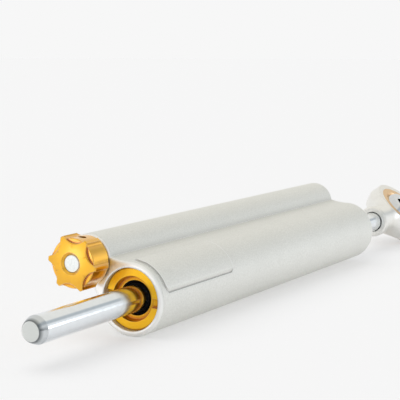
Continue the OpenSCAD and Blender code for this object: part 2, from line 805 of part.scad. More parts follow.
module reservoir_piston() {
    groove_z = float_l / 2;
    piston_out_r = side_bore_r - 0.1;
    groove_r = side_bore_r - ring_d - sit_gap;
    cup_r = side_bore_r - 2.6;
    color(silver) on_side(float_x) difference() {
        turned([[0, 0], [piston_out_r, 0], [piston_out_r, groove_z - ring_groove_l / 2],
            [groove_r, groove_z - ring_groove_l / 2], [groove_r, groove_z + ring_groove_l / 2],
            [piston_out_r, groove_z + ring_groove_l / 2], [piston_out_r, float_l], [0, float_l]]);
        translate([0, 0, groove_z]) cylinder(h = float_l, r = cup_r);
    }
}

module reservoir_o_ring() {
    color(black) on_side(float_x + float_l / 2) o_ring(side_bore_r - run_gap - ring_d / 2, ring_d);
}

// Rings of points along the spring's wire, closed up at both ends
module reservoir_spring() {
    sides = 6;
    steps = 12;
    wire_r = wire_d / 2;
    rings = coils * steps;
    rise = spring_l - wire_d - 2 * end_gap;
    points = [for (i = [0 : rings], s = [0 : sides - 1])
        let (turn = 360 * i / steps, r = spring_mid_r + wire_r * cos(360 * s / sides))
        [r * cos(turn), r * sin(turn), end_gap + wire_r + rise * i / rings + wire_r * sin(360 * s / sides)]];
    walls = [for (i = [0 : rings - 1], s = [0 : sides - 1])
        let (next = (s + 1) % sides)
        each [[i * sides + s, i * sides + next, (i + 1) * sides + s],
              [i * sides + next, (i + 1) * sides + next, (i + 1) * sides + s]]];
    first = [for (s = [1 : sides - 2]) [0, s + 1, s]];
    last = [for (s = [1 : sides - 2]) [rings * sides, rings * sides + s, rings * sides + s + 1]];
    color(steel) on_side(spring_x) polyhedron(points, concat(walls, first, last));
}

module reservoir_plug() {
    groove_z = plug_groove_x - plug_x;
    groove_r = insert_r - ring_d;
    hex_key = 4;
    socket_r = hex_key / (2 * cos(30)) + sit_gap;
    socket_l = 3.5;
    bevel = 0.4;
    color(silver) on_side(plug_x) difference() {
        turned([[0, 0], [insert_r, 0], [insert_r, groove_z], [groove_r, groove_z],
            [groove_r, groove_z + ring_groove_l], [insert_r, groove_z + ring_groove_l],
            [insert_r, plug_l - bevel], [insert_r - bevel, plug_l], [0, plug_l]]);
        translate([0, 0, plug_l - socket_l]) cylinder(h = socket_l + cut, r = socket_r, $fn = 6);
    }
}

module plug_o_ring() {
    color(black) on_side(plug_groove_x + ring_groove_l / 2) bore_o_ring(side_bore_r);
}

body_casing();
front_end_cap();
cap_o_ring();
front_guide_bush();
front_rod_seal();
front_wiper();
rear_guide_bush();
rear_rod_seal();
rear_wiper();
rear_circlip();
piston();
piston_band();
piston_o_ring();
piston_rod();
piston_circlips();
rod_end_housing();
rod_end_race();
rod_end_ball();
adjuster_knob();
knob_grub_screw();
adjuster_spindle();
spindle_o_ring();
adjuster_housing();
housing_o_rings();
needle_guide();
metering_needle();
valve_seat();
reservoir_piston();
reservoir_o_ring();
reservoir_spring();
reservoir_plug();
plug_o_ring();
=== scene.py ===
# %% [markdown]
# # A twin-tube steering damper
# A steering damper is a small cylinder full of oil that calms the handlebars of a motorcycle. This one
# lies on a white table: a satin casing of two joined tubes, a chromed rod that passes right through the
# larger one, a gold cap and knob, and a ball joint at the far end of the rod. The imported solids already
# hold every shape at its real size, so this lesson is about light and surfaces. The first cell loads
# those solids as a fixed frame, with a helper that reads the box of any piece.

import math

import bpy
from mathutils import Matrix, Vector


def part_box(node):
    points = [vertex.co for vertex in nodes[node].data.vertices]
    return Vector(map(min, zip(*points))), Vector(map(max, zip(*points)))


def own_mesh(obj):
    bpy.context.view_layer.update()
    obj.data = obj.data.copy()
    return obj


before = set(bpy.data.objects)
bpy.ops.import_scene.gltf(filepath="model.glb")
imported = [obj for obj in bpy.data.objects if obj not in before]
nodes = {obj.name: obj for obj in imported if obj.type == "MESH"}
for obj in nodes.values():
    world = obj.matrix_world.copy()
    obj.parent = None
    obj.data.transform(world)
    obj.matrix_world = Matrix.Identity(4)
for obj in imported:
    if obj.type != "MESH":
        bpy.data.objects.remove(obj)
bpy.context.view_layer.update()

# %% [markdown]
# ## Helpers
# Sizes are easier to read in millimetres, colours as the hex values that a paint program shows, and
# nodes as one line each. Blender wants metres and linear colour, so the first two helpers convert. The
# third adds one node to a tree, with its settings, and with a value or a link for each input. A Mix node
# has a pair of inputs for numbers, one for vectors and one for colours, all with the same names, so they
# are found by their place in the list, and those places get plain names here.

# %% Helpers
MM = 0.001
SHARE, NUMBER_A, NUMBER_B, VECTOR_A, VECTOR_B, COLOUR_A, COLOUR_B = 0, 2, 3, 4, 5, 6, 7
NUMBER, VECTOR, COLOUR = 0, 1, 2


def linear(hex_colour):
    channels = [int(hex_colour[i:i + 2], 16) / 255 for i in (1, 3, 5)]
    return [c / 12.92 if c <= 0.04045 else ((c + 0.055) / 1.055) ** 2.4 for c in channels] + [1.0]


def add(tree, kind, inputs=None, **settings):
    node = tree.nodes.new(kind)
    for name, value in settings.items():
        setattr(node, name, value)
    for name, value in (inputs or {}).items():
        if isinstance(value, bpy.types.NodeSocket):
            tree.links.new(value, node.inputs[name])
        else:
            node.inputs[name].default_value = value
    return node


print("mid grey #808080 is", round(linear("#808080")[0], 3), "in linear light")

# %% [markdown]
# ## The camera
# The photograph was taken from in front of the knob end, a little above the table, with a long lens. A
# constraint could aim the camera at the damper, but a place and two angles are easier to fit to a
# photograph, one after the other. Heading is the turn from +X towards +Y, pitch is the tilt up from level,
# and the lens is for Blender's 36 mm sensor. The Standard view shows each colour as it is written.

# %% Camera
camera_place = Vector((-387.2, -193.8, 72.5)) * MM
camera_heading = math.radians(29.2)
camera_pitch = math.radians(-6.81)
camera_lens = 112.5

scene = bpy.context.scene
scene.view_settings.view_transform = "Standard"
camera_data = bpy.data.cameras.new("camera")
camera_data.lens = camera_lens
camera = bpy.data.objects.new("camera", camera_data)
camera.location = camera_place
camera.rotation_euler = (math.pi / 2 + camera_pitch, 0, camera_heading - math.pi / 2)
scene.collection.objects.link(camera)
scene.camera = camera
print("camera", [round(c / MM) for c in camera_place], "mm from the casing's middle")

# %% [markdown]
# ## The table
# The damper lies on its casing's front edge and on the ball joint, whose eye reaches a little lower than
# the casing. A level plane would touch the eye alone, so the plane is laid through both points. It leans by
# less than half a degree, which is how the real damper would find its rest. The casing touches just behind
# its rounded edge, and the eye under its middle. A hair's gap keeps the surfaces from lying in each other.

# %% Table
table_gap = 0.02 * MM
table_reach = 60.0
casing_edge = 0.9 * MM

casing_low, casing_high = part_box("body_casing")
eye_low, eye_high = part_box("rod_end_housing")
eye_x = eye_high.x - (eye_high.y - eye_low.y) / 2  # close to the eye's middle
front_x = casing_low.x + casing_edge
table_rise = (eye_low.z - casing_low.z) / (eye_x - front_x)
table_z = casing_low.z - table_rise * front_x - table_gap
ends = (-table_reach, table_reach)
corners = [(x, y, table_z + table_rise * x) for x in ends for y in ends]
table_mesh = bpy.data.meshes.new("table")
table_mesh.from_pydata(corners, [], [(0, 2, 3, 1)])
table = bpy.data.objects.new("table", table_mesh)
scene.collection.objects.link(table)
print("table leans", round(math.degrees(math.atan(table_rise)), 2), "degrees")

# %% [markdown]
# ## White paper
# The table is a sheet of white paper, almost plain white in the photograph, with a pale, soft shadow. More
# light would whiten it but burn out the metal, so the paper's own nodes do it. Light Path tells which kind
# of ray has arrived. The camera gets half lit paper and half plain white. Mirror rays get more of the lit
# paper, so that the metal's undersides darken where they hang over the shadow.

# %% Paper
white = linear("#F7F7F7")
plain_for_camera = 0.5
plain_for_mirrors = 0.2


def new_material(name):
    material = bpy.data.materials.new(name)
    material.use_nodes = True
    material.node_tree.nodes.clear()
    return material, material.node_tree


paper, tree = new_material("white_paper")
ray = add(tree, "ShaderNodeLightPath")
mirrored = add(tree, "ShaderNodeMath", {
    0: ray.outputs["Is Glossy Ray"], 1: ray.outputs["Is Transmission Ray"]}, operation="MAXIMUM")
plain_share = add(tree, "ShaderNodeMath", {
    0: mirrored.outputs[0], 1: plain_for_mirrors}, operation="MULTIPLY")
plain_share = add(tree, "ShaderNodeMath", {
    0: ray.outputs["Is Camera Ray"], 1: plain_for_camera,
    2: plain_share.outputs[0]}, operation="MULTIPLY_ADD")
lit_paper = add(tree, "ShaderNodeBsdfDiffuse", {"Color": white})
plain_white = add(tree, "ShaderNodeEmission", {"Color": white, "Strength": 1.0})
sheet = add(tree, "ShaderNodeMixShader", {
    0: plain_share.outputs[0], 1: lit_paper.outputs[0], 2: plain_white.outputs[0]})
add(tree, "ShaderNodeOutputMaterial", {"Surface": sheet.outputs[0]})
table_mesh.materials.append(paper)
print("paper is", plain_for_camera, "plain white for the camera and", plain_for_mirrors, "for the metal")

# %% [markdown]
# ## The studio that the metal sees
# Polished metal shows what is round it, and in an even white it would look as flat as paint. So mirror rays
# get a picture of a studio. A photographed panorama could be loaded for it, but a few bands are enough here
# and easier to fit. They run along the damper, because every tube reflects along its axis: a bright window
# low on the near side, a grey strip above it, a warm pale ceiling, and white down the far side. The angle
# round the long axis places them, from the near side over the top to the far side.

# %% Bands of the studio
window = linear("#F4F6F7")
strip = linear("#BDC3C7")
ceiling = linear("#F2F0EA")
band_stops = [(0.0, window), (0.16, window), (0.23, strip), (0.30, strip),
              (0.37, ceiling), (0.6, ceiling), (1.0, white)]

world = bpy.data.worlds.new("white_studio")
scene.world = world
world.use_nodes = True
world.cycles.sampling_method = "NONE"  # even light needs no map of where to look for it
tree = world.node_tree
tree.nodes.clear()
direction = add(tree, "ShaderNodeTexCoord").outputs["Generated"]
aim = add(tree, "ShaderNodeSeparateXYZ", {0: direction})
nearwards = add(tree, "ShaderNodeMath", {0: aim.outputs["Y"], 1: -1.0}, operation="MULTIPLY")
angle = add(tree, "ShaderNodeMath", {0: aim.outputs["Z"], 1: nearwards.outputs[0]}, operation="ARCTAN2")
half_turn = add(tree, "ShaderNodeMapRange", {"Value": angle.outputs[0], "From Max": math.pi})
bands = add(tree, "ShaderNodeValToRGB", {"Fac": half_turn.outputs[0]})
while len(bands.color_ramp.elements) < len(band_stops):
    bands.color_ramp.elements.new(0.5)
for element, (position, colour) in zip(bands.color_ramp.elements, band_stops):
    element.position = position
    element.color = colour
print("studio bands:", len(band_stops), "stops over half a turn")

# %% [markdown]
# A room that is white all round leaves chrome without form, so a dark curtain hangs straight out from the
# rod's near side. A plane could be hung there, but it would shade the damper too. Here the curtain is only
# part of the picture, and it fades in three ways: along the damper, upwards, and towards the far side.

# %% Curtain of the studio
curtain = linear("#4A4D50")
curtain_fades = {
    "along": {"From Min": 0.1, "From Max": 0.6, "To Min": 1.0, "To Max": 0.0},
    "upwards": {"From Min": 0.05, "From Max": 0.5, "To Min": 1.0, "To Max": 0.0},
    "nearwards": {"From Min": 0.1, "From Max": 0.5, "To Min": 0.0, "To Max": 1.0},
}

along = add(tree, "ShaderNodeMath", {0: aim.outputs["X"]}, operation="ABSOLUTE")
curtain_reach = {"along": along.outputs[0], "upwards": aim.outputs["Z"], "nearwards": nearwards.outputs[0]}
curtain_share = 1.0
for way, fade in curtain_fades.items():
    part = add(tree, "ShaderNodeMapRange", {
        "Value": curtain_reach[way], **fade}, interpolation_type="SMOOTHSTEP")
    curtain_share = add(tree, "ShaderNodeMath", {
        0: curtain_share, 1: part.outputs[0]}, operation="MULTIPLY").outputs[0]
studio = add(tree, "ShaderNodeMix", {
    SHARE: curtain_share, COLOUR_A: bands.outputs[0], COLOUR_B: curtain}, data_type="RGBA")
print("curtain fades", ", ".join(curtain_fades))

# %% [markdown]
# ## Even light from the room
# The table and the shadows need light itself, not a picture of it. A white studio lights evenly from all
# sides. A dome of lamps could do that, but the world does it with one number. So the camera sees plain white
# behind the table, mirror rays see the studio, and every other ray gets the even light.

# %% Room light
room_level = 0.65

ray = add(tree, "ShaderNodeLightPath")
mirrored = add(tree, "ShaderNodeMath", {
    0: ray.outputs["Is Glossy Ray"], 1: ray.outputs["Is Transmission Ray"]}, operation="MAXIMUM")
even_light = add(tree, "ShaderNodeBackground", {"Color": white, "Strength": room_level})
for_mirrors = add(tree, "ShaderNodeBackground", {"Color": studio.outputs[COLOUR], "Strength": 1.0})
for_camera = add(tree, "ShaderNodeBackground", {"Color": white, "Strength": 1.0})
light = add(tree, "ShaderNodeMixShader", {
    0: mirrored.outputs[0], 1: even_light.outputs[0], 2: for_mirrors.outputs[0]})
light = add(tree, "ShaderNodeMixShader", {
    0: ray.outputs["Is Camera Ray"], 1: light.outputs[0], 2: for_camera.outputs[0]})
add(tree, "ShaderNodeOutputWorld", {"Surface": light.outputs[0]})
print("room level", room_level)

# %% [markdown]
# ## A broad lamp
# One broad lamp above draws the soft shadow. An area lamp could do that, but a sun with a wide angle lights
# both ends of the damper alike. Mirror rays don't see it, because they have the studio. Room and lamp come
# to about 1 on the table, so that a colour shows about as it is written.

# %% Broad lamp
lamp_level = 0.41
lamp_spread = math.radians(70)
lamp_tilt = (math.radians(-18), math.radians(-12), 0)

lamp_data = bpy.data.lights.new("broad_lamp", "SUN")
lamp_data.energy = lamp_level * math.pi
lamp_data.angle = lamp_spread
lamp = bpy.data.objects.new("broad_lamp", lamp_data)
lamp.rotation_euler = lamp_tilt
lamp.visible_glossy = False
scene.collection.objects.link(lamp)
print("lamp level", lamp_level)

# %% [markdown]
# ## Two cards
# A photographer stands white cards beside metal, to put a highlight where its form needs one. The left card
# is small and white: it is the bright spot on the gold knob. The right one is larger, far off and faintly
# blue: it is the long highlight on the main tube's near side, on the rod and on the knob's side. Glowing
# planes could serve, but area lamps give less noise. They show only in the metal, and each is placed by its
# heading and its rise in degrees, as seen from the spot that it lights. Distance and width are in mm.

# %% Cards
spindle_low, spindle_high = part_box("adjuster_spindle")
knob_axis = (spindle_low + spindle_high) / 2
near_side = Vector((casing_low.x / 2, casing_low.y, 0.0))
cards = {
    "left_card": {"spot": knob_axis, "heading": 153, "rise": -4, "distance": 100, "width": 20,
                  "brightness": 2.8, "tint": "#FFFFFF"},
    "right_card": {"spot": near_side, "heading": -48, "rise": 6, "distance": 1000, "width": 240,
                   "brightness": 2.6, "tint": "#ECF2FF"},
}

for name, plan in cards.items():
    heading, rise, width = math.radians(plan["heading"]), math.radians(plan["rise"]), plan["width"] * MM
    outwards = Vector((math.cos(heading) * math.cos(rise), math.sin(heading) * math.cos(rise),
                       math.sin(rise)))
    card_data = bpy.data.lights.new(name, "AREA")
    card_data.size = width
    card_data.energy = plan["brightness"] * math.pi * width ** 2
    card_data.color = linear(plan["tint"])[:3]
    card = bpy.data.objects.new(name, card_data)
    card.location = plan["spot"] + outwards * plan["distance"] * MM
    card.rotation_euler = outwards.to_track_quat("Z", "Y").to_euler()
    card.visible_camera = False
    card.visible_diffuse = False
    scene.collection.objects.link(card)
    print(name, "at", [round(c / MM) for c in card.location], "mm")

# %% [markdown]
# ## Bead-blasted aluminium
# The casing was blasted with fine glass beads and anodised clear. That gives a pale warm grey which spreads
# every reflection wide, with a faint grain. An image could carry the grain, but it would need an unwrapped
# mesh, and a noise in the object's own coordinates needs none. Real grit marks are under a tenth of a
# millimetre, too fine for this picture, so they are drawn at half a millimetre. A second noise, much wider,
# lets the tone drift along the tubes.

# %% Blasted surface
grit = 0.5 * MM
cloud = 14 * MM
grit_share = 0.85
blasted_dark, blasted_light = linear("#E6E6E1"), linear("#F3F3EF")
blasted_smooth, blasted_coarse = 0.62, 0.70
noise_span = {"From Min": 0.3, "From Max": 0.7}  # a Noise Texture seldom leaves this span

casing_finish, tree = new_material("bead_blasted_aluminium")
place = add(tree, "ShaderNodeTexCoord").outputs["Object"]
grain = add(tree, "ShaderNodeTexNoise", {"Vector": place, "Scale": 1 / grit, "Detail": 2.0})
drift = add(tree, "ShaderNodeTexNoise", {"Vector": place, "Scale": 1 / cloud, "Detail": 2.0})
speckle = add(tree, "ShaderNodeMix", {
    SHARE: grit_share, NUMBER_A: drift.outputs[0], NUMBER_B: grain.outputs[0]})
spread = add(tree, "ShaderNodeMapRange", {"Value": speckle.outputs[NUMBER], **noise_span})
blasted = add(tree, "ShaderNodeMix", {
    SHARE: spread.outputs[0], COLOUR_A: blasted_dark, COLOUR_B: blasted_light}, data_type="RGBA")
blasted_rough = add(tree, "ShaderNodeMapRange", {
    "Value": grain.outputs[0], **noise_span, "To Min": blasted_smooth, "To Max": blasted_coarse})
print("grit drawn at", grit / MM, "mm, clouds at", round(cloud / MM), "mm")

# %% [markdown]
# ## Cut end faces
# Both end faces of the casing were cut on a lathe after blasting, so they are smoother and lighter. They
# could get a material of their own face by face, but a mask leaves the mesh as it was imported. It picks what
# looks along the damper and lies close to an end.

# %% Cut faces
cut_tone = linear("#FAFAF8")
cut_rough = 0.42
end_depth = 1.5 * MM
end_span = {"From Min": 0.55, "From Max": 0.75}

normal = add(tree, "ShaderNodeNewGeometry").outputs["Normal"]
facing = add(tree, "ShaderNodeSeparateXYZ", {0: normal})
facing = add(tree, "ShaderNodeMath", {0: facing.outputs["X"]}, operation="ABSOLUTE")
facing_out = add(tree, "ShaderNodeMapRange", {"Value": facing.outputs[0], **end_span})
along = add(tree, "ShaderNodeSeparateXYZ", {0: place})
along = add(tree, "ShaderNodeMath", {0: along.outputs["X"]}, operation="ABSOLUTE")
at_end = add(tree, "ShaderNodeMath", {
    0: along.outputs[0], 1: casing_high.x - end_depth}, operation="GREATER_THAN")
cut_face = add(tree, "ShaderNodeMath", {
    0: facing_out.outputs[0], 1: at_end.outputs[0]}, operation="MULTIPLY")
colour = add(tree, "ShaderNodeMix", {
    SHARE: cut_face.outputs[0], COLOUR_A: blasted.outputs[COLOUR], COLOUR_B: cut_tone}, data_type="RGBA")
rough = add(tree, "ShaderNodeMix", {
    SHARE: cut_face.outputs[0], NUMBER_A: blasted_rough.outputs[0], NUMBER_B: cut_rough})
print("end faces are cut", end_depth / MM, "mm deep")

# %% [markdown]
# ## Rings of the lathe
# The tool of a lathe leaves a fine spiral round the axis, about ten turns to the millimetre. It could be
# modelled as grooves, but they are so shallow that a bump looks the same: a sine of the distance from the
# axis. The rings are drawn three times as coarse as real, so that they show. On the cut faces they are faint,
# and the rest of the casing has the grain of the grit instead.

# %% Turning rings
lathe_pitch = 0.3 * MM
faint = 0.1


def axis_distance(tree, place, axis_y=0.0, axis_z=0.0):
    across = add(tree, "ShaderNodeVectorMath", {0: place, 1: (0.0, 1.0, 1.0)}, operation="MULTIPLY")
    distance = add(tree, "ShaderNodeVectorMath", {
        0: across.outputs[0], 1: (0.0, axis_y, axis_z)}, operation="DISTANCE")
    return distance.outputs["Value"]


def turning_rings(tree, radius):
    turns = add(tree, "ShaderNodeMath", {0: radius, 1: 2 * math.pi / lathe_pitch}, operation="MULTIPLY")
    return add(tree, "ShaderNodeMath", {0: turns.outputs[0]}, operation="SINE").outputs[0]


casing_rings = turning_rings(tree, axis_distance(tree, place))
faint_rings = add(tree, "ShaderNodeMath", {0: casing_rings, 1: faint}, operation="MULTIPLY")
marks = add(tree, "ShaderNodeMix", {
    SHARE: cut_face.outputs[0], NUMBER_A: grain.outputs[0], NUMBER_B: faint_rings.outputs[0]})
print("rings every", round(lathe_pitch / MM, 2), "mm")

# %% [markdown]
# ## Edges and creases
# Edges get a painted highlight, with a little wear from handling, and creases get painted shade. Both could
# be painted on the mesh by hand, but two nodes find them. A Bevel node rounds the normals at every edge for
# the light, and where its normal leaves the true one the surface turns a corner. An Ambient Occlusion node
# measures how open the surface lies, and a crease is less open. The gold pieces below use both as well.

# %% Edges and creases
corner_span = {"From Min": 0.8, "From Max": 0.98}
crease_depth = 0.6


def edge_wear_and_highlight(tree, edge, most):
    normal = add(tree, "ShaderNodeNewGeometry").outputs["Normal"]
    flatness = add(tree, "ShaderNodeVectorMath", {0: normal, 1: edge.outputs[0]}, operation="DOT_PRODUCT")
    return add(tree, "ShaderNodeMapRange", {
        "Value": flatness.outputs["Value"], **corner_span, "To Min": most, "To Max": 0.0}).outputs[0]


def out_of_creases(tree, reach, fully_open):
    openness = add(tree, "ShaderNodeAmbientOcclusion", {"Distance": reach}, samples=8, only_local=True)
    return add(tree, "ShaderNodeMapRange", {
        "Value": openness.outputs["AO"], "From Min": crease_depth, "From Max": fully_open}).outputs[0]


# edges below this get a painted highlight with a little wear, and creases get painted shade
print("an edge counts as rubbed below", corner_span["From Max"], "and a crease as deepest at", crease_depth)

# %% [markdown]
# ## The casing's finish
# The layers go on one after another: blasted, cut, painted shade in the creases, and a painted highlight with
# a little wear on the edges. Several shaders could be mixed for them, but all of it is the same metal, so one
# shader takes a mixed colour, roughness and bump. The casing's edges are rounded by just under a millimetre.
# The helper in this cell gives a finish to pieces by their names, in place of the one that they came with.

# %% Casing finish
casing_round = 0.8 * MM
casing_crease = 4 * MM
painted_crease_shade = linear("#CFCFCA")
worn_metal_and_highlight = linear("#FFFFFF")


def give(material, *names):
    for name in names:
        mesh = nodes[name].data
        mesh.materials.clear()
        mesh.materials.append(material)
    print(material.name, "on", ", ".join(names))


# painted shade: creases are mixed towards a darker grey
colour = add(tree, "ShaderNodeMix", {
    SHARE: out_of_creases(tree, casing_crease, fully_open=1.0), COLOUR_A: painted_crease_shade,
    COLOUR_B: colour.outputs[COLOUR]}, data_type="RGBA")
edge = add(tree, "ShaderNodeBevel", {"Radius": casing_round}, samples=8)
# painted highlight with a little wear: edges are mixed towards white
colour = add(tree, "ShaderNodeMix", {
    SHARE: edge_wear_and_highlight(tree, edge, most=1.0), COLOUR_A: colour.outputs[COLOUR],
    COLOUR_B: worn_metal_and_highlight}, data_type="RGBA")
bump = add(tree, "ShaderNodeBump", {
    "Height": marks.outputs[NUMBER], "Strength": 0.25, "Distance": 0.05 * MM, "Normal": edge.outputs[0]})
shader = add(tree, "ShaderNodeBsdfPrincipled", {
    "Base Color": colour.outputs[COLOUR], "Metallic": 1.0,
    "Roughness": rough.outputs[NUMBER], "Normal": bump.outputs[0]})
add(tree, "ShaderNodeOutputMaterial", {"Surface": shader.outputs[0]})
give(casing_finish, "body_casing")

# %% [markdown]
# ## Gold anodised aluminium
# The cap, the knob and the valve's housing are turned aluminium, dyed gold in the anodising bath. The dye
# sits in a clear oxide layer. A gold metal alone would look plated, so a thin clear coat lies on it. Turning
# leaves fine rings round each axis. Every edge was broken before dyeing, so it is rounded by a quarter of a
# millimetre, and it gets a painted highlight in paler gold, with a little dye lost to fingers. The creases
# get painted shade in deeper orange, for gold reflecting gold. A slow drift, five millimetres wide, keeps the
# dye from looking printed.

# %% Gold finish
gold_round = 0.25 * MM
gold_cloud = 5 * MM
painted_crease_orange = linear("#BA6408")
worn_gold_and_highlight = linear("#FFE9B0")


def gold_anodised(name, axis_y, axis_z, dark, light, smooth, coarse, oxide, crease):
    material, tree = new_material(name)
    place = add(tree, "ShaderNodeTexCoord").outputs["Object"]
    rings = turning_rings(tree, axis_distance(tree, place, axis_y, axis_z))
    drift = add(tree, "ShaderNodeTexNoise", {"Vector": place, "Scale": 1 / gold_cloud, "Detail": 2.0})
    spread = add(tree, "ShaderNodeMapRange", {"Value": drift.outputs[0], **noise_span})
    rough = add(tree, "ShaderNodeMix", {SHARE: spread.outputs[0], NUMBER_A: smooth, NUMBER_B: coarse})
    colour = add(tree, "ShaderNodeMix", {
        SHARE: spread.outputs[0], COLOUR_A: linear(dark), COLOUR_B: linear(light)}, data_type="RGBA")
    # painted shade: creases are mixed towards a deeper orange, standing for gold reflecting gold
    colour = add(tree, "ShaderNodeMix", {
        SHARE: out_of_creases(tree, crease, fully_open=0.95), COLOUR_A: painted_crease_orange,
        COLOUR_B: colour.outputs[COLOUR]}, data_type="RGBA")
    edge = add(tree, "ShaderNodeBevel", {"Radius": gold_round}, samples=6)
    # painted highlight with a little wear: edges are mixed towards a paler gold
    colour = add(tree, "ShaderNodeMix", {
        SHARE: edge_wear_and_highlight(tree, edge, most=0.6), COLOUR_A: colour.outputs[COLOUR],
        COLOUR_B: worn_gold_and_highlight}, data_type="RGBA")
    bump = add(tree, "ShaderNodeBump", {
        "Height": rings, "Strength": 0.08, "Distance": 0.01 * MM, "Normal": edge.outputs[0]})
    shader = add(tree, "ShaderNodeBsdfPrincipled", {
        "Base Color": colour.outputs[COLOUR], "Metallic": 1.0, "Roughness": rough.outputs[NUMBER],
        "Normal": bump.outputs[0], "Coat Weight": oxide, "Coat Roughness": 0.16})
    add(tree, "ShaderNodeOutputMaterial", {"Surface": shader.outputs[0]})
    return material


print("gold edges rounded by", round(gold_round / MM, 2), "mm")

# %% [markdown]
# The cap and the knob could share one gold, but in the photograph the knob is deeper and shows a sharper
# coat than the cap. So each gets its own tones, gloss, oxide and reach of crease from the same maker. Each
# also has its own axis: the cap was turned round the rod, the knob and the housing round the spindle.

# %% Gold pieces
cap_gold = gold_anodised("gold_anodised_cap", axis_y=0.0, axis_z=0.0, dark="#F6BA18", light="#FBC424",
                         smooth=0.34, coarse=0.42, oxide=0.4, crease=2.0 * MM)
knob_gold = gold_anodised("gold_anodised_knob", axis_y=knob_axis.y, axis_z=knob_axis.z, dark="#EFB01C",
                          light="#F5BA28", smooth=0.30, coarse=0.36, oxide=1.0, crease=1.2 * MM)
give(cap_gold, "front_end_cap")
give(knob_gold, "adjuster_knob", "adjuster_housing")
print("knob axis at y and z", round(knob_axis.y / MM, 2), round(knob_axis.z / MM, 2), "mm")

# %% [markdown]
# ## Hard chrome
# The rod was ground round and chromed, but its flat tip was only turned, so it is dull and shows rings. The
# taper behind the tip was turned as well, and where it meets the flat it carries a ring of painted shade. One
# material holds all three, as on the casing's ends. What the surface faces tells them apart: chrome faces
# away from the axis, the tip along it, and the taper lies between. A faint drift, two millimetres wide, keeps
# the chrome from looking like a perfect mirror.

# %% Rod colours
rod_round = 0.25 * MM
polish = 2 * MM
tip_span = {"From Min": 0.8, "From Max": 0.95}
taper_span = {"From Min": 0.08, "From Max": 0.3}
# painted shade: a dark ring on the taper just behind the flat, 3 to 3.5 mm from the axis
dark_ring_span = {"From Min": 3.0 * MM, "From Max": 3.5 * MM}
chrome_dark, chrome_light = linear("#E7EBEE"), linear("#ECF0F3")
painted_dark_ring, taper_tone = linear("#7E8284"), linear("#D2D6D8")
tip_tone = linear("#E2E5E3")

rod_finish, tree = new_material("hard_chrome")
place = add(tree, "ShaderNodeTexCoord").outputs["Object"]
rod_radius = axis_distance(tree, place)
edge = add(tree, "ShaderNodeBevel", {"Radius": rod_round}, samples=8)
facing = add(tree, "ShaderNodeSeparateXYZ", {0: edge.outputs[0]})
facing = add(tree, "ShaderNodeMath", {0: facing.outputs["X"]}, operation="ABSOLUTE")
tip = add(tree, "ShaderNodeMapRange", {"Value": facing.outputs[0], **tip_span})
taper = add(tree, "ShaderNodeMapRange", {"Value": facing.outputs[0], **taper_span})
dark_ring = add(tree, "ShaderNodeMapRange", {"Value": rod_radius, **dark_ring_span})
drift = add(tree, "ShaderNodeTexNoise", {"Vector": place, "Scale": 1 / polish, "Detail": 3.0})
spread = add(tree, "ShaderNodeMapRange", {"Value": drift.outputs[0], **noise_span})
chrome = add(tree, "ShaderNodeMix", {
    SHARE: spread.outputs[0], COLOUR_A: chrome_dark, COLOUR_B: chrome_light}, data_type="RGBA")
# painted shade ring first, then the taper's own tone
turned = add(tree, "ShaderNodeMix", {
    SHARE: dark_ring.outputs[0], COLOUR_A: painted_dark_ring, COLOUR_B: taper_tone}, data_type="RGBA")
colour = add(tree, "ShaderNodeMix", {
    SHARE: taper.outputs[0], COLOUR_A: chrome.outputs[COLOUR],
    COLOUR_B: turned.outputs[COLOUR]}, data_type="RGBA")
colour = add(tree, "ShaderNodeMix", {
    SHARE: tip.outputs[0], COLOUR_A: colour.outputs[COLOUR], COLOUR_B: tip_tone}, data_type="RGBA")
print("rod colours: chrome, taper and tip")

# %% [markdown]
# Grinding leaves scratches round the rod, too fine to see one by one, which smear a reflection along the rod
# and hardly across it. Scratches in the bump would need a far larger picture, so an anisotropic shader with
# its tangent round the rod gives that smear, turned by a quarter so that it runs along. The flat tip has no
# way round the axis in its middle, so it gets a level tangent.

# %% Rod finish
chrome_smooth, chrome_coarse = 0.10, 0.13
taper_rough = 0.28
tip_rough = 0.42
level = (0.0, 1.0, 0.0)
quarter_turn = 0.25

rough = add(tree, "ShaderNodeMix", {
    SHARE: spread.outputs[0], NUMBER_A: chrome_smooth, NUMBER_B: chrome_coarse})
rough = add(tree, "ShaderNodeMix", {
    SHARE: taper.outputs[0], NUMBER_A: rough.outputs[NUMBER], NUMBER_B: taper_rough})
rough = add(tree, "ShaderNodeMix", {
    SHARE: tip.outputs[0], NUMBER_A: rough.outputs[NUMBER], NUMBER_B: tip_rough})
tip_rings = add(tree, "ShaderNodeMath", {
    0: turning_rings(tree, rod_radius), 1: tip.outputs[0]}, operation="MULTIPLY")
bump = add(tree, "ShaderNodeBump", {
    "Height": tip_rings.outputs[0], "Strength": 0.2, "Distance": 0.02 * MM, "Normal": edge.outputs[0]})
round_rod = add(tree, "ShaderNodeTangent", direction_type="RADIAL", axis="X")
smear = add(tree, "ShaderNodeMix", {
    SHARE: tip.outputs[0], VECTOR_A: round_rod.outputs[0], VECTOR_B: level}, data_type="VECTOR")
shader = add(tree, "ShaderNodeBsdfPrincipled", {
    "Base Color": colour.outputs[COLOUR], "Metallic": 1.0, "Roughness": rough.outputs[NUMBER],
    "Normal": bump.outputs[0], "Anisotropic": 0.9, "Anisotropic Rotation": quarter_turn,
    "Tangent": smear.outputs[VECTOR]})
add(tree, "ShaderNodeOutputMaterial", {"Surface": shader.outputs[0]})
give(rod_finish, "piston_rod")

# %% [markdown]
# ## Plain metals
# The other metals are plated, polished, pressed or turned, and at this distance they differ only in tone,
# gloss and grain. Each could have its own tree of nodes, but one maker serves all: a colour that drifts a
# little, a roughness that drifts with it, a fine grain in the bump, and edges rounded by a fifth of a
# millimetre.

# %% Metal maker
metal_round = 0.2 * MM


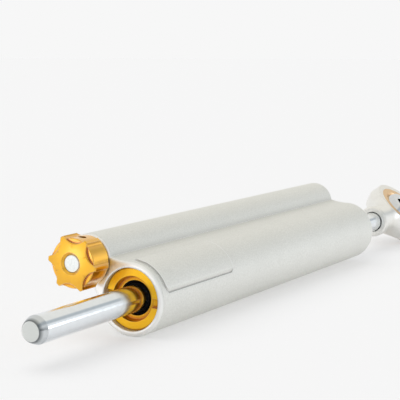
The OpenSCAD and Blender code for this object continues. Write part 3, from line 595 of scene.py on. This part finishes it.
def plain_metal(name, dark, light, smooth, coarse, grain_size, grain_depth=0.05):
    material, tree = new_material(name)
    place = add(tree, "ShaderNodeTexCoord").outputs["Object"]
    grain = add(tree, "ShaderNodeTexNoise", {"Vector": place, "Scale": 1 / (grain_size * MM), "Detail": 3.0})
    spread = add(tree, "ShaderNodeMapRange", {"Value": grain.outputs[0], **noise_span})
    colour = add(tree, "ShaderNodeMix", {
        SHARE: spread.outputs[0], COLOUR_A: linear(dark), COLOUR_B: linear(light)}, data_type="RGBA")
    rough = add(tree, "ShaderNodeMix", {SHARE: spread.outputs[0], NUMBER_A: smooth, NUMBER_B: coarse})
    edge = add(tree, "ShaderNodeBevel", {"Radius": metal_round}, samples=6)
    bump = add(tree, "ShaderNodeBump", {
        "Height": grain.outputs[0], "Strength": grain_depth, "Distance": 0.02 * MM,
        "Normal": edge.outputs[0]})
    shader = add(tree, "ShaderNodeBsdfPrincipled", {
        "Base Color": colour.outputs[COLOUR], "Metallic": 1.0,
        "Roughness": rough.outputs[NUMBER], "Normal": bump.outputs[0]})
    add(tree, "ShaderNodeOutputMaterial", {"Surface": shader.outputs[0]})
    return material


print("metal edges rounded by", round(metal_round / MM, 2), "mm")

# %% [markdown]
# The rod end is nickel-plated, which gives a warm, soft shine. Its ball is polished steel, a clear mirror,
# and its race is bronze pressed from powder, dull and brownish. The rest is turned aluminium, bright drawn
# steel, the spindle's turned steel, which is matt and uneven, and the black oxide of a set screw. They could
# all be one grey metal, but side by side the eye tells them apart at once. Grain sizes are in millimetres,
# and most are drawn coarser than real, so that they show.

# %% Metal pieces
nickel = plain_metal("nickel_plate", "#EEEDE8", "#F4F3EF", smooth=0.30, coarse=0.38, grain_size=1.5)
ball_steel = plain_metal("polished_steel", "#D6D9DC", "#DEE1E3", smooth=0.04, coarse=0.08, grain_size=2.0)
bronze = plain_metal("sintered_bronze", "#E6BF90", "#F0D2A8", smooth=0.3, coarse=0.42, grain_size=0.4)
aluminium = plain_metal("turned_aluminium", "#DEDEDC", "#E8E8E6", smooth=0.25, coarse=0.35, grain_size=0.8)
bright_steel = plain_metal("bright_steel", "#C8CCCB", "#D0D4D3", smooth=0.24, coarse=0.34, grain_size=0.8)
turned_steel = plain_metal("turned_steel", "#D4D8D6", "#EAEDEB", smooth=0.38, coarse=0.46, grain_size=0.6,
                           grain_depth=0.1)
black_oxide = plain_metal("black_oxide", "#2A2A2C", "#343436", smooth=0.35, coarse=0.45, grain_size=0.4)
give(nickel, "rod_end_housing")
give(ball_steel, "rod_end_ball")
give(bronze, "rod_end_race", "front_guide_bush", "rear_guide_bush", "valve_seat")
give(aluminium, "piston", "needle_guide", "reservoir_piston", "reservoir_plug")
give(bright_steel, "metering_needle", "reservoir_spring", "piston_circlips", "rear_circlip")
give(turned_steel, "adjuster_spindle")
give(black_oxide, "knob_grub_screw")

# %% [markdown]
# ## Nitrile rubber and filled PTFE
# The seals, wipers and rings are moulded nitrile rubber, black and matt with a fine tooth. The piston's band
# is PTFE filled with bronze, brown and waxy. Neither is a metal, so they get a maker of their own: no bevel,
# a dull surface and little mirror light. Subsurface light could be added for the band, but it is hidden in
# the bore. Both grains are drawn at 0.3 mm, coarser than real.

# %% Rubber and slide band
soft_grain = 0.3 * MM


def soft_ring(name, dark, light):
    material, tree = new_material(name)
    place = add(tree, "ShaderNodeTexCoord").outputs["Object"]
    grain = add(tree, "ShaderNodeTexNoise", {"Vector": place, "Scale": 1 / soft_grain, "Detail": 2.0})
    spread = add(tree, "ShaderNodeMapRange", {"Value": grain.outputs[0], **noise_span})
    colour = add(tree, "ShaderNodeMix", {
        SHARE: spread.outputs[0], COLOUR_A: linear(dark), COLOUR_B: linear(light)}, data_type="RGBA")
    bump = add(tree, "ShaderNodeBump", {"Height": grain.outputs[0], "Strength": 0.2, "Distance": 0.02 * MM})
    shader = add(tree, "ShaderNodeBsdfPrincipled", {
        "Base Color": colour.outputs[COLOUR], "Roughness": 0.7, "Specular IOR Level": 0.15,
        "Normal": bump.outputs[0]})
    add(tree, "ShaderNodeOutputMaterial", {"Surface": shader.outputs[0]})
    return material


give(soft_ring("nitrile_rubber", "#060607", "#101011"),
     "cap_o_ring", "front_rod_seal", "front_wiper", "rear_rod_seal", "rear_wiper", "piston_o_ring",
     "spindle_o_ring", "housing_o_rings", "reservoir_o_ring", "plug_o_ring")
give(soft_ring("filled_ptfe", "#6E5238", "#80634A"), "piston_band")
print("materials:", len(bpy.data.materials))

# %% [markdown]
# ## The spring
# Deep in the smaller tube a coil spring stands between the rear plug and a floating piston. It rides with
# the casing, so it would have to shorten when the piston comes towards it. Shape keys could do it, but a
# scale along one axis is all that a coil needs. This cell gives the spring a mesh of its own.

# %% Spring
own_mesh(nodes["reservoir_spring"])
